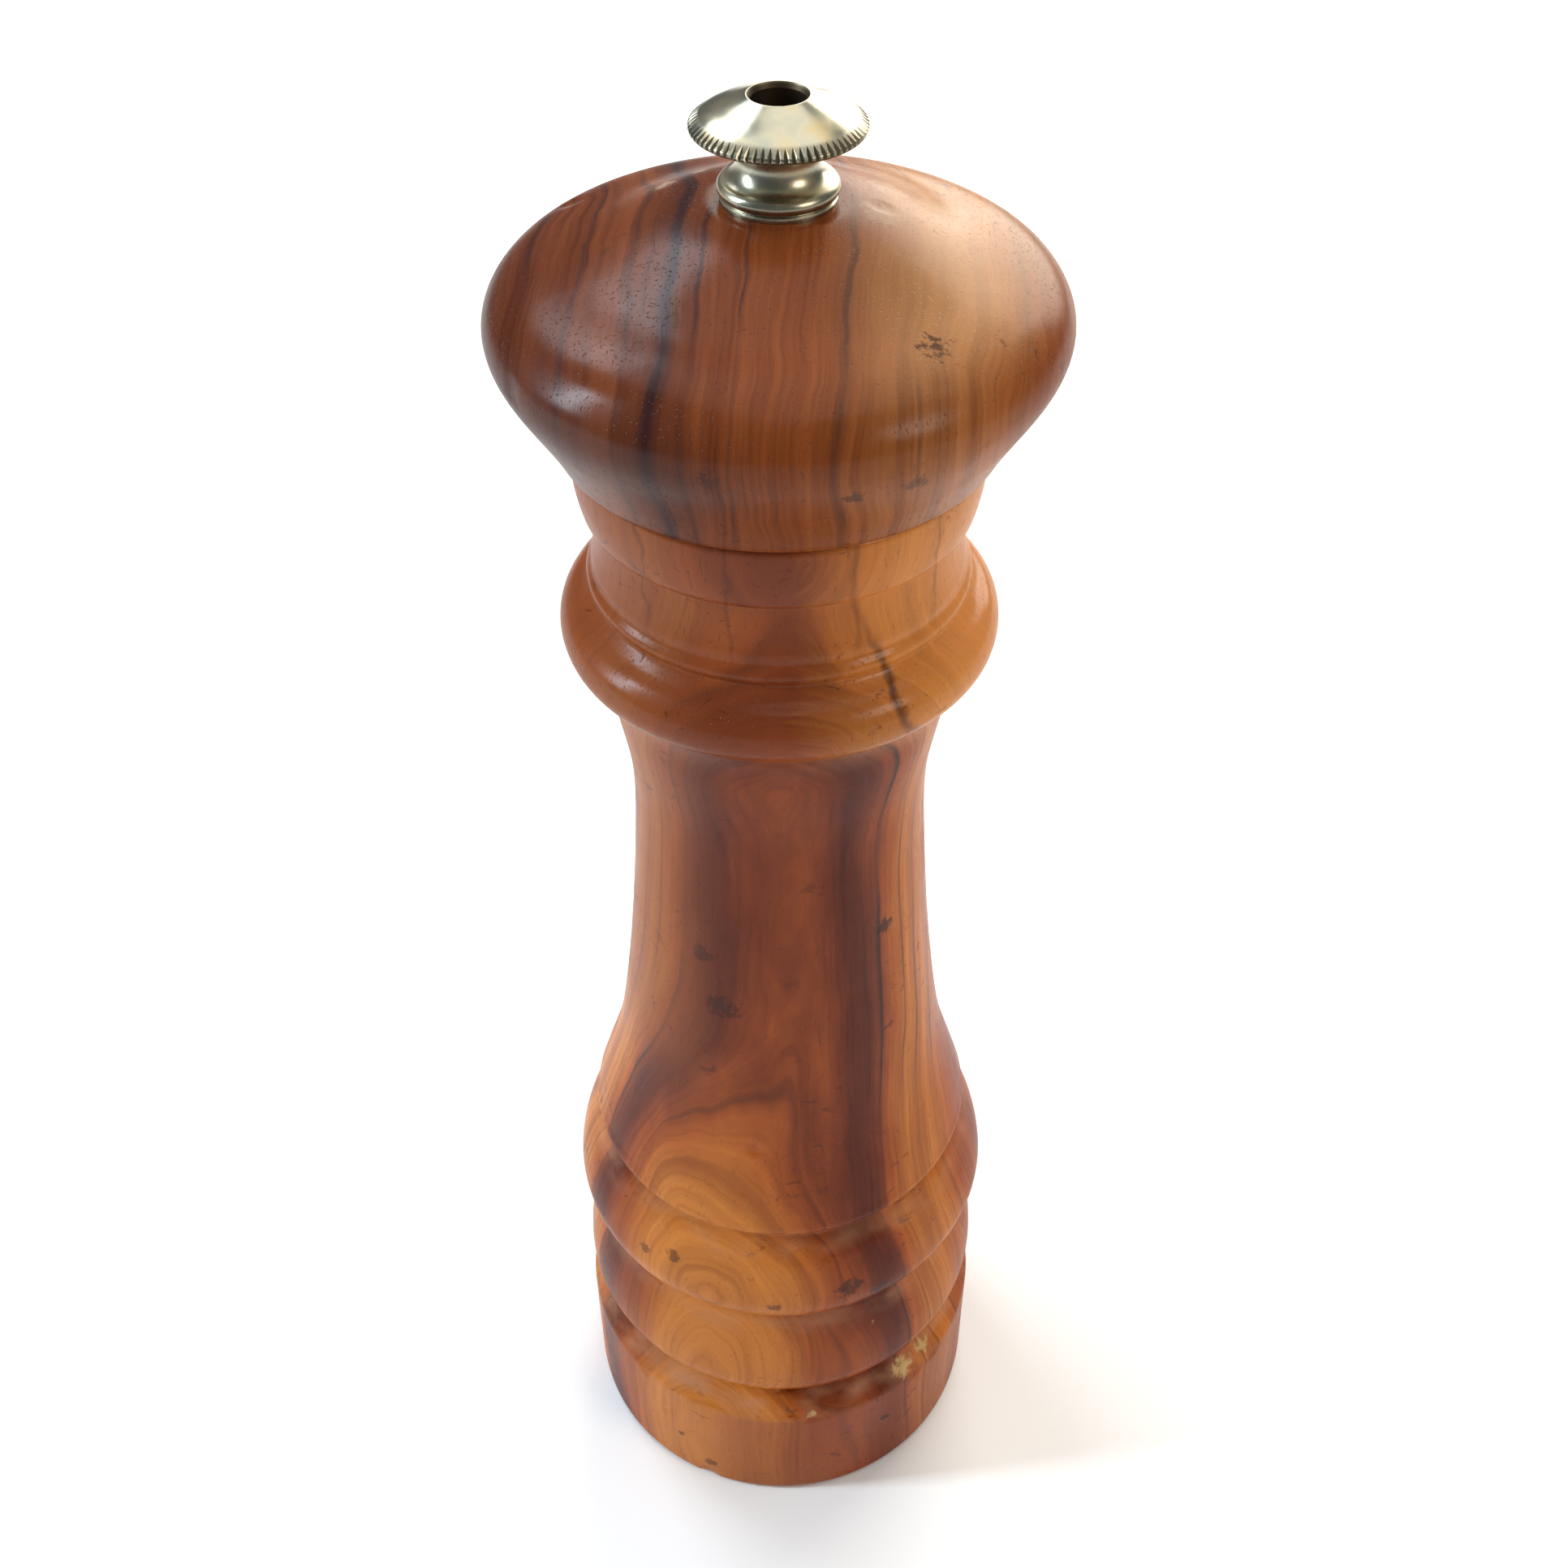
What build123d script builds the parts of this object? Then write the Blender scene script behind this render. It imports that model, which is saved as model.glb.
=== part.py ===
from build123d import *
import math
import os

# Turned olive-wood pepper mill: a waisted body, a mushroom head that turns on it, a knurled knob
# that sets the grind, a square shaft through the middle and a conical burr set in the base.
# Millimetres, +Z up, origin at the centre of the base.

# ---- driving dimensions ----------------------------------------------------------------------
BASE_R = 29.0              # base band
BEAD_R = 28.5              # the two beads above the base band
WAIST_R = 17.5             # narrowest part of the body
TORUS_R = 23.9             # bead below the neck
COLLAR_R = 21.5            # collar that the head stands on
HEAD_R = 28.6              # widest part of the head
BODY_TOP = 168.0           # joint between body and head
HEAD_TOP = 192.5           # flat under the knob
TOTAL_H = 202.2            # top of the knob

SLIP = 0.3                 # gap between pieces that move past each other
FACE_GAP = 0.1             # gap between flat faces that turn on each other

HOPPER_R = 13.0            # peppercorn space
BURR_SEAT_R = 18.0         # counterbore that holds the burr set
BURR_SEAT_TOP = 34.0
RECESS_R = 24.2            # recess under the base for the retaining plate
RECESS_TOP = 6.0

SHAFT_W = 6.0              # square bar across flats
STUD_R = 2.5               # threaded stud at the top of the shaft
PIVOT_R = 2.0              # round end at the bottom of the shaft
SQUARE_HOLE = SHAFT_W + 0.3

ROTOR_BOTTOM = 10.0
ROTOR_TOP = 21.5
ROTOR_R = 12.4             # rotor at its bottom
ROTOR_TOP_R = 7.5
BURR_GAP = 0.55            # rotor to stator at the middle setting; the shaft moves 0.8 up or down


# ---- helpers ---------------------------------------------------------------------------------
STANDING = (Align.CENTER, Align.CENTER, Align.MIN)     # centred on Z, bottom face at the given height


def turned(outline):
    """Revolve a closed (radius, height) outline, given as edges, about Z."""
    return revolve(Plane.XZ * make_face(outline), Axis.Z)


def ring(outer_r, inner_r, bottom, top):
    """A plain tube or washer standing between two heights."""
    height = top - bottom
    blank = Cylinder(outer_r, height, align=STANDING)
    if inner_r > 0:
        blank -= Cylinder(inner_r, height, align=STANDING)
    return Pos(0, 0, bottom) * blank


def square_bar(width, bottom, top):
    """A square bar about Z between two heights."""
    return Pos(0, 0, bottom) * Box(width, width, top - bottom, align=STANDING)


def around(radius, count, start=0.0):
    """Places spread evenly on a circle about Z."""
    return PolarLocations(radius, count, start_angle=start)


def chain(*pieces):
    """Join edges, given as lists, into one list."""
    return [edge for piece in pieces for edge in piece]


def lines(*points):
    return [Line(a, b) for a, b in zip(points[:-1], points[1:])]


def arc(start, through, end):
    return [ThreePointArc(start, through, end)]


# ---- wooden body -----------------------------------------------------------------------------
def body_outline():
    """Outer profile of the body, from the foot up, closed along the axis."""
    foot = lines((0, 0), (BASE_R - 0.5, 0), (BASE_R, 0.5), (BASE_R - 0.1, 20.3), (25.4, 24.6))
    lower_bead = arc((25.4, 24.6), (27.8, 27.3), (BEAD_R, 31.2)) + arc(
        (BEAD_R, 31.2), (27.6, 37.4), (25.0, 44.0)
    )
    upper_bead = arc((25.0, 44.0), (27.9, 46.9), (BEAD_R + 0.1, 50.8)) + arc(
        (BEAD_R + 0.1, 50.8), (27.3, 55.8), (24.2, 60.9)
    )
    flare_lip = lines((24.2, 60.9), (25.3, 62.1)) + arc((25.3, 62.1), (25.5, 63.0), (25.2, 63.9))
    waist = [
        Spline(
            (25.2, 63.9), (22.4, 73.2), (20.4, 84.0), (WAIST_R, 115.0), (WAIST_R + 0.1, 127.0),
            (18.8, 134.0), (20.4, 140.6),
            tangents=((-0.25, 1.0), (0.45, 1.0)),
        )
    ]
    torus = lines((20.4, 140.6), (20.7, 141.7)) + arc((20.7, 141.7), (TORUS_R, 144.6), (21.5, 149.4))
    fillet = lines((21.5, 149.4), (20.1, 150.8), (20.7, 151.3), (20.8, 152.3), (19.9, 153.2), (20.2, 153.8))
    cove = arc((20.2, 153.8), (19.5, 156.6), (19.2, 159.9))
    collar = lines((19.2, 159.9), (20.6, 160.5)) + arc((20.6, 160.5), (21.3, 163.8), (COLLAR_R, 167.6))
    mouth = lines((COLLAR_R, 167.6), (COLLAR_R - 0.4, BODY_TOP), (0, BODY_TOP), (0, 0))
    return chain(foot, lower_bead, upper_bead, flare_lip, waist, torus, fillet, cove, collar, mouth)


PLATE_SCREW_CIRCLE = 21.2
PLATE_SCREWS = 3
SCREW_CORE_R = 1.2


def make_body():
    wood = turned(body_outline())
    wood -= ring(HOPPER_R, 0, BURR_SEAT_TOP - 1, BODY_TOP + 1)
    wood -= ring(BURR_SEAT_R, 0, RECESS_TOP - 1, BURR_SEAT_TOP)
    wood -= ring(RECESS_R, 0, -1, RECESS_TOP)
    pilot = ring(SCREW_CORE_R + 0.05, 0, RECESS_TOP - 0.5, 17.0)
    wood -= [place * pilot for place in around(PLATE_SCREW_CIRCLE, PLATE_SCREWS, 90)]
    mouth_edge = wood.edges().filter_by(GeomType.CIRCLE).group_by(Axis.Z)[-1].sort_by(SortBy.RADIUS)[0]
    return chamfer(mouth_edge, 0.6)


# ---- wooden head -----------------------------------------------------------------------------
HEAD_BOTTOM = BODY_TOP + SLIP
TENON_R = HOPPER_R - SLIP
TENON_BOTTOM = 158.3
SHAFT_BORE_R = 4.7
STUD_BORE_R = 3.0
STUD_BORE_BOTTOM = 180.0
DRIVE_SCREW_CIRCLE = 8.6


def head_outline():
    """Flared cone, rounded shoulder and shallow dome, with the tenon below."""
    tenon = lines(
        (0, TENON_BOTTOM), (TENON_R - 0.5, TENON_BOTTOM), (TENON_R, TENON_BOTTOM + 0.5),
        (TENON_R, HEAD_BOTTOM),
    )
    rim = lines((TENON_R, HEAD_BOTTOM), (22.3, HEAD_BOTTOM), (22.8, HEAD_BOTTOM + 0.5))
    dome = [
        Spline(
            (22.8, HEAD_BOTTOM + 0.5), (26.8, 175.9), (HEAD_R, 181.4), (25.9, 185.5), (19.5, 187.8),
            (7.0, HEAD_TOP),
            tangents=((0.45, 1.0), (-1.0, 0.2)),
        )
    ]
    top = lines((7.0, HEAD_TOP), (0, HEAD_TOP), (0, TENON_BOTTOM))
    return chain(tenon, rim, dome, top)


def make_head():
    wood = turned(head_outline())
    wood -= ring(SHAFT_BORE_R, 0, TENON_BOTTOM - 1, STUD_BORE_BOTTOM)
    wood -= ring(STUD_BORE_R, 0, STUD_BORE_BOTTOM - 1, HEAD_TOP + 1)
    pilot = ring(1.05, 0, TENON_BOTTOM - 0.5, TENON_BOTTOM + 9)
    wood -= [place * pilot for place in around(DRIVE_SCREW_CIRCLE, 2)]
    return wood


# ---- knob and its washer ---------------------------------------------------------------------
WASHER_T = 0.5
WASHER_R = 5.5
KNOB_BOTTOM = HEAD_TOP + WASHER_T + FACE_GAP
KNOB_R = 8.2               # rim of the crown
KNOB_RIM_Z = 199.4
KNOB_FOOT_R = 5.75
KNOB_NECK_R = 3.9
KNOB_EYE_R = 2.95          # mouth of the threaded hole
KNOB_BORE_R = STUD_R + 0.06
KNURL_TEETH = 72
KNURL_R = 7.85             # middle of the knurled edge, on the slope of the crown
KNURL_Z = 199.95
KNURL_LEAN = -37.0


def make_knob_washer():
    washer = ring(WASHER_R, STUD_R + SLIP, HEAD_TOP, HEAD_TOP + WASHER_T)
    top_edges = washer.edges().filter_by(GeomType.CIRCLE).group_by(Axis.Z)[-1]
    return chamfer(top_edges.sort_by(SortBy.RADIUS)[-1], 0.2)


def make_knob():
    """Turned knob: a beaded foot, a hollow neck and a domed crown with a knurled edge, bored through."""
    bead_top = KNOB_BOTTOM + 1.4
    foot = lines((0, KNOB_BOTTOM), (KNOB_FOOT_R - 0.35, KNOB_BOTTOM)) + arc(
        (KNOB_FOOT_R - 0.35, KNOB_BOTTOM), (KNOB_FOOT_R, KNOB_BOTTOM + 0.7), (KNOB_FOOT_R - 0.4, bead_top)
    )
    step = lines((KNOB_FOOT_R - 0.4, bead_top), (KNOB_FOOT_R - 0.75, bead_top + 0.1))
    neck = arc((KNOB_FOOT_R - 0.75, bead_top + 0.1), (KNOB_NECK_R, 196.3), (4.7, 198.2))
    under = arc((4.7, 198.2), (6.5, 198.65), (KNOB_R - 0.2, KNOB_RIM_Z - 0.3))
    rim = arc((KNOB_R - 0.2, KNOB_RIM_Z - 0.3), (KNOB_R, KNOB_RIM_Z), (KNOB_R - 0.25, KNOB_RIM_Z + 0.4))
    crown = [
        Spline(
            (KNOB_R - 0.25, KNOB_RIM_Z + 0.4), (6.9, 200.55), (5.0, 201.35), (KNOB_EYE_R, TOTAL_H),
            tangents=((-0.75, 0.66), (-0.93, 0.36)),
        )
    ]
    eye = lines((KNOB_EYE_R, TOTAL_H), (0, TOTAL_H), (0, KNOB_BOTTOM))
    knob = turned(chain(foot, step, neck, under, rim, crown, eye))
    knob -= ring(KNOB_BORE_R, 0, KNOB_BOTTOM - 1, TOTAL_H + 1)
    mouth_h = 0.5
    mouth = Cone(KNOB_BORE_R, KNOB_EYE_R - 0.1, mouth_h, align=STANDING)
    knob -= Pos(0, 0, TOTAL_H - mouth_h) * mouth
    return knob - tooth_cuts(KNURL_TEETH, KNURL_R, KNURL_Z, KNURL_LEAN, 0, 0.36, 1.9)


# ---- drive plate under the head --------------------------------------------------------------
DRIVE_PLATE_T = 1.5
DRIVE_PLATE_BOTTOM = TENON_BOTTOM - DRIVE_PLATE_T


def countersunk_screw(head_r, core_r, face_z, point_z):
    """Slotted countersunk wood screw pointing up, with its flat head at face_z."""
    head_h = head_r - core_r
    head = Pos(0, 0, face_z) * Cone(head_r, core_r, head_h, align=STANDING)
    core = ring(core_r, 0, face_z + head_h, point_z - 1.5)
    point = Pos(0, 0, point_z - 1.5) * Cone(core_r, 0.15, 1.5, align=STANDING)
    slot = Pos(0, 0, face_z) * Box(3 * head_r, 0.6, 1.0)
    return head + core + point - slot


def make_drive_plate():
    plate = ring(11.4, 0, DRIVE_PLATE_BOTTOM, TENON_BOTTOM)
    plate -= square_bar(SQUARE_HOLE, DRIVE_PLATE_BOTTOM - 1, TENON_BOTTOM + 1)
    sink = Pos(0, 0, DRIVE_PLATE_BOTTOM) * Cone(2.15, 1.05, 1.1, align=STANDING)
    sink += ring(1.05, 0, DRIVE_PLATE_BOTTOM, TENON_BOTTOM)
    return plate - [place * sink for place in around(DRIVE_SCREW_CIRCLE, 2)]


def make_drive_plate_screws():
    screw = countersunk_screw(2.0, 1.0, DRIVE_PLATE_BOTTOM + 0.1, TENON_BOTTOM + 8.5)
    return Compound(children=[place * screw for place in around(DRIVE_SCREW_CIRCLE, 2)])


# ---- shaft -----------------------------------------------------------------------------------
SQUARE_BOTTOM = ROTOR_BOTTOM + 0.8
SQUARE_TOP = 178.0
STUD_TOP = 199.2
PIVOT_BOTTOM = 2.0


def make_shaft():
    bar = square_bar(SHAFT_W, SQUARE_BOTTOM, SQUARE_TOP)
    bar = chamfer(bar.edges().filter_by(Axis.Z), 0.35)
    stud = ring(STUD_R, 0, SQUARE_TOP, STUD_TOP)
    stud = chamfer(stud.edges().filter_by(GeomType.CIRCLE).group_by(Axis.Z)[-1], 0.4)
    pivot = ring(PIVOT_R, 0, PIVOT_BOTTOM, SQUARE_BOTTOM)
    pivot = chamfer(pivot.edges().filter_by(GeomType.CIRCLE).group_by(Axis.Z)[0], 0.3)
    return bar + stud + pivot


# ---- burr set --------------------------------------------------------------------------------
ROTOR_SLOPE = (ROTOR_R - ROTOR_TOP_R) / (ROTOR_TOP - ROTOR_BOTTOM)
ROTOR_TEETH = 14
STATOR_TEETH = 18
STATOR_TOP = 24.0
THROAT_Z = 15.0            # narrowest height of the stator
STATOR_R = BURR_SEAT_R - 0.05


def rotor_radius(z):
    return ROTOR_R - ROTOR_SLOPE * (z - ROTOR_BOTTOM)


def tooth_cuts(count, radius, z, lean, twist, width, length):
    """Square bars laid on edge along a cone, one for each gap between teeth."""
    bar = Rot(0, lean, 0) * Rot(twist, 0, 0) * Rot(0, 0, 45) * Box(width, width, length)
    return [Pos(0, 0, z) * place * bar for place in around(radius, count)]


def make_rotor_burr():
    """Male cone with leaning teeth, on the square of the shaft."""
    skirt_z = ROTOR_BOTTOM + 0.6
    outline = lines(
        (0, ROTOR_BOTTOM), (ROTOR_R - 0.6, ROTOR_BOTTOM), (rotor_radius(skirt_z), skirt_z),
        (ROTOR_TOP_R, ROTOR_TOP), (0, ROTOR_TOP), (0, ROTOR_BOTTOM),
    )
    cone = turned(outline)
    cone -= square_bar(SHAFT_W, SQUARE_BOTTOM, ROTOR_TOP + 1)
    cone -= ring(PIVOT_R, 0, ROTOR_BOTTOM - 1, SQUARE_BOTTOM)
    middle = (ROTOR_BOTTOM + ROTOR_TOP) / 2 + 1.0
    lean = -math.degrees(math.atan(ROTOR_SLOPE))
    return cone - tooth_cuts(ROTOR_TEETH, rotor_radius(middle) + 0.25, middle, lean, 14, 1.7, 22)


def make_stator_burr():
    """Female ring: a feed funnel, then the grinding cone, then a plain skirt."""
    cone_bottom = ROTOR_BOTTOM - 0.8
    outline = lines(
        (14.6, RECESS_TOP), (STATOR_R, RECESS_TOP), (STATOR_R, STATOR_TOP), (16.4, STATOR_TOP),
        (rotor_radius(THROAT_Z) + BURR_GAP, THROAT_Z), (rotor_radius(cone_bottom) + BURR_GAP, cone_bottom),
        (14.6, cone_bottom), (14.6, RECESS_TOP),
    )
    burr = turned(outline)
    middle = (THROAT_Z + cone_bottom) / 2
    lean = -math.degrees(math.atan(ROTOR_SLOPE))
    fine = tooth_cuts(STATOR_TEETH, rotor_radius(middle) + BURR_GAP + 0.1, middle, lean, -12, 1.5, 14)
    return burr - fine


def make_rotor_washer():
    return ring(4.2, PIVOT_R, ROTOR_BOTTOM - 0.5, ROTOR_BOTTOM)


def make_rotor_nut():
    height = 2.2
    top = ROTOR_BOTTOM - 0.5
    blank = extrude(RegularPolygon(3.5, 6, major_radius=False), height)
    corners = Cone(3.6, 4.4, 0.5, align=STANDING)
    corners += Pos(0, 0, 0.5) * Cylinder(4.4, height, align=STANDING)
    return Pos(0, 0, top - height) * (blank & corners) - ring(PIVOT_R + 0.02, 0, top - height - 1, top + 1)


# ---- guide bridge, spring and its seats ------------------------------------------------------
BRIDGE_T = 1.4
BRIDGE_BOTTOM = BURR_SEAT_TOP - BRIDGE_T
HUB_R = 6.6
WINDOWS = 3
ARM_W = 5.0
THRUST_T = 0.6
SEAT_T = 0.6
SPRING_WIRE_R = 0.5
SPRING_R = 5.6
SPRING_TURNS = 4.5


def make_guide_bridge():
    """Drawn cup over the burrs: three arms carry the hub that steadies the shaft."""
    cup = ring(STATOR_R, 0, STATOR_TOP, BURR_SEAT_TOP) - ring(16.4, 0, STATOR_TOP - 1, BRIDGE_BOTTOM)
    window = ring(HOPPER_R, HUB_R, BRIDGE_BOTTOM - 1, BURR_SEAT_TOP + 1)
    arm = Pos(HOPPER_R / 2 + 2, 0, BRIDGE_BOTTOM) * Box(HOPPER_R + 8, ARM_W, 3 * BRIDGE_T)
    window -= [place * Pos(-1, 0, 0) * arm for place in around(0, WINDOWS, 30)]
    return cup - window - ring(SHAFT_W * 0.75, 0, BRIDGE_BOTTOM - 1, BURR_SEAT_TOP + 1)


def make_thrust_washer():
    top = BRIDGE_BOTTOM - FACE_GAP
    return ring(7.2, 0, top - THRUST_T, top) - square_bar(SQUARE_HOLE, top - 2, top + 1)


def make_spring_seat():
    return ring(7.0, 0, ROTOR_TOP, ROTOR_TOP + SEAT_T) - square_bar(SHAFT_W, ROTOR_TOP - 1, ROTOR_TOP + 2)


def make_spring():
    """Compression spring between the seat on the rotor and the thrust washer."""
    bottom = ROTOR_TOP + SEAT_T + SPRING_WIRE_R + 0.05
    top = BRIDGE_BOTTOM - FACE_GAP - THRUST_T - SPRING_WIRE_R - 0.05
    height = top - bottom
    path = Pos(0, 0, bottom) * Helix(pitch=height / SPRING_TURNS, height=height, radius=SPRING_R)
    section = Plane(origin=path @ 0, z_dir=path % 0) * Circle(SPRING_WIRE_R)
    return sweep(section, path, is_frenet=True)


# ---- retaining plate under the base ----------------------------------------------------------
PLATE_T = 1.2
PLATE_BOTTOM = RECESS_TOP - PLATE_T
PLATE_WINDOW_R = 14.5
BAR_W = 8.0
BUSH_R = 3.0


def make_retaining_plate():
    """Ring screwed into the base, with a bar across it for the lower bearing."""
    plate = ring(RECESS_R - 0.2, 0, PLATE_BOTTOM, RECESS_TOP)
    window = ring(PLATE_WINDOW_R, 0, PLATE_BOTTOM - 1, RECESS_TOP + 1)
    window -= Pos(0, 0, PLATE_BOTTOM) * Box(3 * PLATE_WINDOW_R, BAR_W, 4 * PLATE_T)
    plate -= window
    plate -= ring(BUSH_R, 0, PLATE_BOTTOM - 1, RECESS_TOP + 1)
    sink = Pos(0, 0, PLATE_BOTTOM) * Cone(2.6, 1.3, 1.3, align=STANDING)
    return plate - [place * sink for place in around(PLATE_SCREW_CIRCLE, PLATE_SCREWS, 90)]


def make_plate_screws():
    screw = countersunk_screw(2.4, SCREW_CORE_R, PLATE_BOTTOM, 16.5)
    return Compound(children=[place * screw for place in around(PLATE_SCREW_CIRCLE, PLATE_SCREWS, 90)])


def make_lower_bush():
    sleeve = ring(BUSH_R, PIVOT_R + 0.06, PLATE_BOTTOM, RECESS_TOP)
    return sleeve + ring(BUSH_R + 1.3, PIVOT_R + 0.06, PLATE_BOTTOM - 0.7, PLATE_BOTTOM)


# ---- write one file for each piece -----------------------------------------------------------
PIECES = {
    "body": make_body,
    "head": make_head,
    "knob": make_knob,
    "knob_washer": make_knob_washer,
    "drive_plate": make_drive_plate,
    "drive_plate_screws": make_drive_plate_screws,
    "shaft": make_shaft,
    "rotor_burr": make_rotor_burr,
    "rotor_washer": make_rotor_washer,
    "rotor_nut": make_rotor_nut,
    "stator_burr": make_stator_burr,
    "guide_bridge": make_guide_bridge,
    "thrust_washer": make_thrust_washer,
    "spring_seat": make_spring_seat,
    "spring": make_spring,
    "retaining_plate": make_retaining_plate,
    "plate_screws": make_plate_screws,
    "lower_bush": make_lower_bush,
}

os.makedirs("parts", exist_ok=True)
for name, make in PIECES.items():
    piece = make()
    piece.label = name
    export_step(piece, f"parts/{name}.step")
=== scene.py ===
"""Looks for a turned olive-wood pepper mill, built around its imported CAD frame. Metres, +Z up."""
import math

import bmesh
import bpy
import numpy as np
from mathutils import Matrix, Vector, noise


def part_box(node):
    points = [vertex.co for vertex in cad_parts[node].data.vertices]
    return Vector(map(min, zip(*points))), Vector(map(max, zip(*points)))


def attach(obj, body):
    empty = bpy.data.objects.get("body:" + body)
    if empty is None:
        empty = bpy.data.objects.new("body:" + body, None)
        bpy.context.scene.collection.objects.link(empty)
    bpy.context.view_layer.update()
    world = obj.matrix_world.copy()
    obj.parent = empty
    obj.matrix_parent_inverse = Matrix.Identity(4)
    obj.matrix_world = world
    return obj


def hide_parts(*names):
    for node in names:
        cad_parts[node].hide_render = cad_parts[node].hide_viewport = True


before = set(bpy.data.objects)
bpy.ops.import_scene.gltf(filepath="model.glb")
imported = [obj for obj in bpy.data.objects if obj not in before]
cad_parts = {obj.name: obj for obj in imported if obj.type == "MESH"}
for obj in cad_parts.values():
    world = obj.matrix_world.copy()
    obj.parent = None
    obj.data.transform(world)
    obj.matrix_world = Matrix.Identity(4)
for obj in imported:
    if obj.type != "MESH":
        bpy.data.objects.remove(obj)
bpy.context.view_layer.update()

MM = 0.001

SHAFT_LOW, SHAFT_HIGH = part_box("shaft")


# ---- colour and node helpers -----------------------------------------------------------------
def srgb(red, green, blue):
    """A 0 to 255 screen colour as linear RGBA."""
    def linear(c):
        c /= 255
        return c / 12.92 if c <= 0.04045 else ((c + 0.055) / 1.055) ** 2.4
    return (linear(red), linear(green), linear(blue), 1.0)


MIX_COLOUR_A = 6              # places of the colour sockets on a Mix node
MIX_COLOUR_B = 7
MIX_COLOUR_OUT = 2


class Graph:
    """Builds one material's node tree, with positions in millimetres."""

    def __init__(self, name):
        self.material = bpy.data.materials.new(name)
        self.material.use_nodes = True
        self.tree = self.material.node_tree
        self.shader = self.tree.nodes["Principled BSDF"]
        place = self.tree.nodes.new("ShaderNodeTexCoord").outputs["Object"]
        self.place = self.scaled(place, (1000, 1000, 1000))
        parts = self.tree.nodes.new("ShaderNodeSeparateXYZ")
        self.join(self.place, parts.inputs[0])
        self.x, self.y, self.z = parts.outputs

    def join(self, source, socket):
        if isinstance(source, bpy.types.NodeSocket):
            self.tree.links.new(source, socket)
        else:
            socket.default_value = source

    def math(self, operation, a, b=0.0, c=0.0):
        node = self.tree.nodes.new("ShaderNodeMath")
        node.operation = operation
        for value, socket in zip((a, b, c), node.inputs):
            self.join(value, socket)
        return node.outputs[0]

    def scaled(self, vector, scale):
        node = self.tree.nodes.new("ShaderNodeVectorMath")
        node.operation = "MULTIPLY"
        self.join(vector, node.inputs[0])
        node.inputs[1].default_value = scale
        return node.outputs[0]

    def vector(self, x, y, z):
        node = self.tree.nodes.new("ShaderNodeCombineXYZ")
        for value, socket in zip((x, y, z), node.inputs):
            self.join(value, socket)
        return node.outputs[0]

    def noise(self, vector, scale, detail=2.0, roughness=0.5, distortion=0.0):
        node = self.tree.nodes.new("ShaderNodeTexNoise")
        self.join(vector, node.inputs["Vector"])
        node.inputs["Scale"].default_value = scale
        node.inputs["Detail"].default_value = detail
        node.inputs["Roughness"].default_value = roughness
        node.inputs["Distortion"].default_value = distortion
        return node.outputs["Fac"]

    def span(self, value, low, high, to_low=0.0, to_high=1.0):
        """value, taken smoothly from low..high to to_low..to_high."""
        node = self.tree.nodes.new("ShaderNodeMapRange")
        node.interpolation_type = "SMOOTHSTEP"
        for entry, socket in zip((value, low, high, to_low, to_high), node.inputs):
            self.join(entry, socket)
        return node.outputs[0]

    def near(self, value, centre, width):
        """1 where value is at centre, falling to 0 at width away."""
        gap = self.math("ABSOLUTE", self.math("SUBTRACT", value, centre))
        return self.span(gap, 0.0, width, 1.0, 0.0)

    def ramp(self, value, stops):
        """A colour ramp: stops are (position, colour), with positions in value's own units."""
        first, last = stops[0][0], stops[-1][0]
        node = self.tree.nodes.new("ShaderNodeValToRGB")
        share = self.math("DIVIDE", self.math("SUBTRACT", value, first), last - first)
        self.join(share, node.inputs[0])
        elements = node.color_ramp.elements
        while len(elements) < len(stops):
            elements.new(0.5)
        for element, (position, colour) in zip(elements, stops):
            element.position = (position - first) / (last - first)
            element.color = colour
        return node.outputs["Color"]

    def mix(self, factor, a, b, blend="MIX"):
        """Colour a, turned to b by factor."""
        node = self.tree.nodes.new("ShaderNodeMix")
        node.data_type = "RGBA"
        node.blend_type = blend
        self.join(factor, node.inputs["Factor"])
        self.join(a, node.inputs[MIX_COLOUR_A])
        self.join(b, node.inputs[MIX_COLOUR_B])
        return node.outputs[MIX_COLOUR_OUT]

    def bump(self, height, distance, strength=1.0, under=None):
        """A normal raised by height, with distance in millimetres, over the normal called under."""
        node = self.tree.nodes.new("ShaderNodeBump")
        node.inputs["Strength"].default_value = strength
        node.inputs["Distance"].default_value = distance * MM
        self.join(height, node.inputs["Height"])
        if under is not None:
            self.join(under, node.inputs["Normal"])
        return node.outputs[0]

    def set(self, **values):
        """Principled sockets by name, with _ for a space."""
        for name, value in values.items():
            self.join(value, self.shader.inputs[name.replace("_", " ")])
        return self.material


# ---- wood ------------------------------------------------------------------------------------
def length_of(g, *parts):
    """The length of a vector given by its parts."""
    total = 0.0
    for part in parts:
        total = g.math("ADD", total, g.math("MULTIPLY", part, part))
    return g.math("SQRT", total)


def ring_field(g, pith_x, pith_y, drift, wave):
    """Distance from the pith, wandering slowly and then more quickly, in millimetres."""
    ring = length_of(g, g.math("SUBTRACT", g.x, pith_x), g.math("SUBTRACT", g.y, pith_y))
    for size, stretch, amount in ((0.020, 0.6, drift), (0.07, 0.3, wave), (0.22, 0.25, wave * 0.15)):
        wander = g.noise(g.scaled(g.place, (1, 1, stretch)), size, 2.0)
        ring = g.math("ADD", ring, g.math("MULTIPLY", g.math("SUBTRACT", wander, 0.5), amount))
    return ring


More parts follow.
